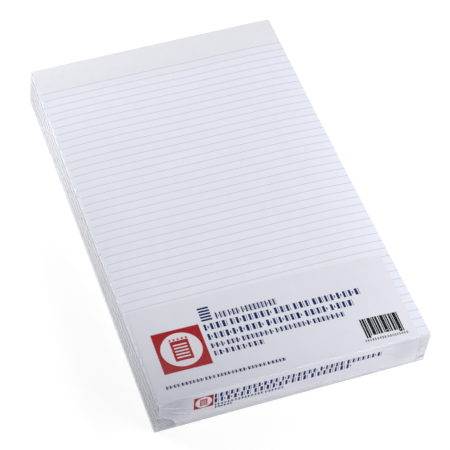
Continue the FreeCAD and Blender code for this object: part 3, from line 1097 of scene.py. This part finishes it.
def rounded_box(wide, deep, tall, radius):
    """The closed skin of a box with round edges, with more points near its sides and edges.

    Each point of a plain box's skin is drawn in to core + r d / |d|, where core is the place
    nearest to it in the box that is smaller by r all round, and d runs from there to it.
    Returns the points' coordinates, the ways they face, and the quads.
    """
    rim = np.linspace(0, 1, EDGE_POINTS)[:-1] * radius
    half = np.concatenate([rim, np.linspace(radius, GATHERED, GATHER_POINTS),
                           np.linspace(GATHERED, wide / 2, MIDDLE_POINTS)[1:]])
    across = np.concatenate([half, (wide - half[:-1])[::-1]])
    along = np.concatenate([rim, radius + eased(LENGTH_POINTS) * (deep - 2 * radius), (deep - rim)[::-1]])
    upward = np.concatenate([rim, np.linspace(radius, tall - radius, HEIGHT_POINTS), (tall - rim)[::-1]])
    a, b, c, quads = lattice(across, along, upward)
    plain = np.stack([a, b, c], -1)
    core = np.clip(plain, radius, np.array([wide, deep, tall]) - radius)
    way = plain - core
    way = way / np.linalg.norm(way, axis=1, keepdims=True)
    return (core + radius * way).T, way, quads


class WRITINGPADS_OT_film(bpy.types.Operator):
    """Build the closed skin of shrink film with its seal and gathers"""
    bl_idname = "writingpads.film"
    bl_label = "Shrink film"

    def execute(self, context):
        settings = context.scene.writing_pads
        film = settings.film
        wide = STACK_WIDTH + 2 * film.side
        deep = BACK_Y - FOOT_Y + 2 * film.side
        tall = STACK_BASE + STACK_HEIGHT + film.lift
        (a, b, c), way, quads = rounded_box(wide, deep, tall, film.radius)
        # The box is leant and bowed with the stack
        share_up = np.clip((c - STACK_BASE) / STACK_HEIGHT, 0, 1)
        x = stack_left(share_up * STACK_HEIGHT) - film.side + a
        y = FOOT_Y - film.side + b
        bowed = stack_surface(x, y, STACK_HEIGHT, settings.stack) - STACK_BASE - STACK_HEIGHT
        z = c + bowed * share_up
        from_left = x - stack_left(0) + film.side
        from_right = stack_left(0) + STACK_WIDTH + film.side - x
        rise, drawn, folded = (
            np.where(a < wide / 2, at_left, at_right) for at_left, at_right
            in zip(folded_corner(from_left, c, film), sealed_corner(from_right, c, film)))
        # Gathers stand out on both ends, and the seal on both ends and the right side
        seal = film.seal_radius * np.maximum(1 - ((c - film.seal_height) / SEAL_HALF) ** 2, 0)
        ends = np.abs(way[:, 1])
        y = y + np.sign(way[:, 1]) * ends * np.maximum(rise, seal)
        x = x + np.maximum(way[:, 0], 0) * seal
        piece = add_piece("film_wrap", np.stack([x, y, z], -1), quads, [shrink_film(settings)],
                          ["shrink_film"])
        # One attribute holds the painted glints and the left side's haze; the other holds the flap's grey,
        # the painted shadow under the tuck and painted shade towards the corners
        drawn = np.maximum(ends * drawn, tight_milk(x, y, c, np.clip(a / wide, 0, 1), way))
        folded = np.maximum(ends * folded, corner_grey(a, b, c, deep, way))
        for key, values in (("drawn", drawn), ("folded", folded)):
            layer = piece.data.attributes.new(key, "FLOAT", "POINT")
            layer.data.foreach_set("value", values.astype(np.float32))
        return {"FINISHED"}


# The stage

FLOOR_HALF = 4.0
FLOOR_DEPTH = 0.05 * MM
# What the camera looks at
AIM = (0.47 * MM, -18.94 * MM, 17.0 * MM)
# Each softbox: where it stands, where it points, and its width and height
SOFTBOXES = {
    "right": ((1.0, 0.0, 0.5), (0.0, 0.0, 0.0), (1.0, 0.7)),
    "front": ((0.7, -0.8, 0.5), (0.0, 0.0, 0.0), (0.8, 0.6)),
    "left": ((-0.63, 0.68, 0.44), (0.0, 0.05, 0.0), (0.65, 0.5)),
}


def add_floor(settings):
    """Add the floor, a large square just under the part."""
    reach = FLOOR_HALF
    mesh = bpy.data.meshes.new("studio_floor")
    mesh.from_pydata([(-reach, -reach, -FLOOR_DEPTH), (reach, -reach, -FLOOR_DEPTH),
                      (reach, reach, -FLOOR_DEPTH), (-reach, reach, -FLOOR_DEPTH)], [], [(0, 1, 2, 3)])
    mesh.materials.append(studio_floor(settings))
    floor = bpy.data.objects.new("studio_floor", mesh)
    bpy.context.scene.collection.objects.link(floor)


def add_softbox(name, power):
    """Add one soft rectangular lamp from the list above."""
    place, target, size = SOFTBOXES[name]
    lamp = bpy.data.lights.new("softbox_" + name, "AREA")
    lamp.shape = "RECTANGLE"
    lamp.size, lamp.size_y = size
    lamp.energy = power
    stand = bpy.data.objects.new("softbox_" + name, lamp)
    stand.location = place
    stand.rotation_euler = (Vector(target) - Vector(place)).to_track_quat("-Z", "Y").to_euler()
    stand.visible_camera = False
    bpy.context.scene.collection.objects.link(stand)


def add_camera(stage):
    """Add the camera: it looks along its azimuth and elevation at AIM, then rolls."""
    down = math.cos(stage.elevation)
    view = Vector((math.sin(stage.azimuth) * down, math.cos(stage.azimuth) * down,
                   -math.sin(stage.elevation)))
    lens = bpy.data.cameras.new("camera")
    lens.sensor_fit = "HORIZONTAL"
    lens.lens = stage.lens
    camera = bpy.data.objects.new("camera", lens)
    camera.location = Vector(AIM) - view * stage.distance
    turned = view.to_track_quat("-Z", "Y") @ Quaternion((0, 0, 1), stage.roll)
    camera.rotation_euler = turned.to_euler()
    bpy.context.scene.collection.objects.link(camera)
    bpy.context.scene.camera = camera


def white_room(ambient):
    """A world that is white where it is plainly seen, and dimmer as even light."""
    world = bpy.data.worlds.new("white_room")
    world.use_nodes = True
    tree = world.node_tree
    tree.nodes.clear()
    strength = add_node(tree, "MapRange", {"Value": plainly_seen(tree), "To Min": ambient}).outputs[0]
    light = add_node(tree, "Background", {"Color": (1, 1, 1, 1), "Strength": strength}).outputs[0]
    add_node(tree, "OutputWorld", {"Surface": light})
    bpy.context.scene.world = world


class WRITINGPADS_OT_stage(bpy.types.Operator):
    """Set up the floor, the softboxes, the white room and the camera"""
    bl_idname = "writingpads.stage"
    bl_label = "Stage"

    def execute(self, context):
        settings = context.scene.writing_pads
        stage = settings.stage
        add_floor(settings)
        for name in SOFTBOXES:
            add_softbox(name, getattr(stage, name + "_power"))
        white_room(stage.ambient)
        add_camera(stage)
        context.scene.view_settings.view_transform = "Standard"
        return {"FINISHED"}


class WRITINGPADS_PT_panel(bpy.types.Panel):
    """The sidebar's list of the pack's pieces and sizes"""
    bl_idname = "WRITINGPADS_PT_panel"
    bl_label = "Wrapped writing pads"
    bl_space_type = "VIEW_3D"
    bl_region_type = "UI"
    bl_category = "Pads"

    def draw(self, context):
        settings = context.scene.writing_pads
        for operator in OPERATORS:
            self.layout.operator(operator.bl_idname)
        for name in ("stack", "ruling", "label", "film", "stage"):
            box = self.layout.box()
            box.label(text=name.capitalize())
            group = getattr(settings, name)
            for key in group.__annotations__:
                box.prop(group, key)


OPERATORS = (
    WRITINGPADS_OT_sheets,
    WRITINGPADS_OT_boards,
    WRITINGPADS_OT_gum,
    WRITINGPADS_OT_label,
    WRITINGPADS_OT_print,
    WRITINGPADS_OT_film,
    WRITINGPADS_OT_stage,
)
CLASSES = (
    StackSettings,
    RulingSettings,
    LabelSettings,
    FilmSettings,
    StageSettings,
    PackSettings,
    *OPERATORS,
    WRITINGPADS_PT_panel,
)


def register():
    """Register every class and hang the settings on the scene."""
    for made in CLASSES:
        bpy.utils.register_class(made)
    bpy.types.Scene.writing_pads = PointerProperty(type=PackSettings)


def unregister():
    """Undo register."""
    del bpy.types.Scene.writing_pads
    for made in reversed(CLASSES):
        bpy.utils.unregister_class(made)


def main():
    """Build the whole scene."""
    register()
    bpy.ops.writingpads.sheets()
    bpy.ops.writingpads.boards()
    bpy.ops.writingpads.gum()
    bpy.ops.writingpads.label()
    bpy.ops.writingpads.print()
    bpy.ops.writingpads.film()
    bpy.ops.writingpads.stage()


if __name__ == "__main__":
    main()
